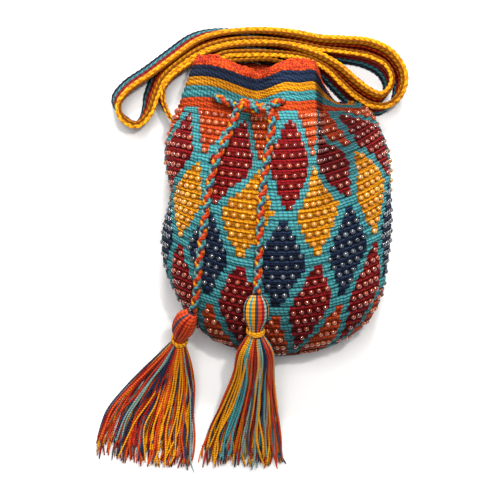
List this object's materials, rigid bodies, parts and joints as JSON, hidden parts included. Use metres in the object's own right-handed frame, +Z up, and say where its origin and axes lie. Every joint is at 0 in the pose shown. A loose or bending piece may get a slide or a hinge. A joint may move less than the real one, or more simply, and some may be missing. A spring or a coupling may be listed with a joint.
{
  "type": "crocheted mochila bag",
  "caption": "Crocheted drawstring bucket bag in a diamond pattern with glass beads, a woven shoulder strap and a tasselled drawstring, lying on its back.",
  "frame": {"origin": "centre of the bag and strap on the surface they lie on, without the cord ends and tassels", "axes": "+Z up from the surface, +Y from the base to the mouth, +X to the right seen from the front"},
  "size_m": [0.2309, 0.3419, 0.0969],
  "materials": {
    "crochet": "cotton yarn crocheted in orange, red, yellow, navy and teal",
    "strap_yarn": "cotton yarn woven in lengthwise stripes",
    "cord_yarn": "several colours of cotton yarn twisted together",
    "tassel_thread": "loose glossy cotton threads in several colours",
    "tie_yarn": "yellow cotton yarn wound tight",
    "bead": "clear amber glass with a gold lustre"
  },
  "bodies": {
    "root": {"bag_body": "crochet", "shoulder_strap": "strap_yarn", "drawstring_neck": "cord_yarn", "drawstring_knot": "cord_yarn", "drawstring_tail_left": "cord_yarn", "drawstring_tail_right": "cord_yarn", "tassel_left": "tassel_thread", "tassel_right": "tassel_thread", "tassel_left_tie": "tie_yarn", "tassel_right_tie": "tie_yarn"}
  },
  "joints": []
}
